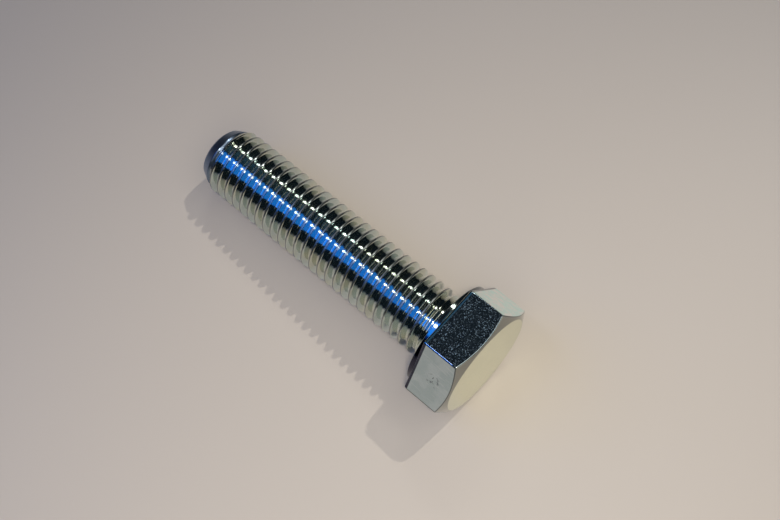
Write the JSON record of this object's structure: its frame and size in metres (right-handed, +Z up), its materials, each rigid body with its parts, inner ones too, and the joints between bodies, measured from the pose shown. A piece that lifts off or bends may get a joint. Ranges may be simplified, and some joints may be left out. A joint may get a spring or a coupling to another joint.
{
  "type": "hex head screw",
  "caption": "Hex head screw with a metric coarse thread up to the head, chamfered crown and chamfered point, lying on its side.",
  "frame": {"origin": "centre of the lying screw's footprint, on the surface it lies on", "axes": "+X along the screw from the point to the head, +Z up, +Y across the screw"},
  "size_m": [0.059, 0.0216, 0.0192],
  "materials": {
    "zinc_plated_steel": "satin"
  },
  "bodies": {
    "root": {"hex_head_screw": "zinc_plated_steel"}
  },
  "joints": []
}
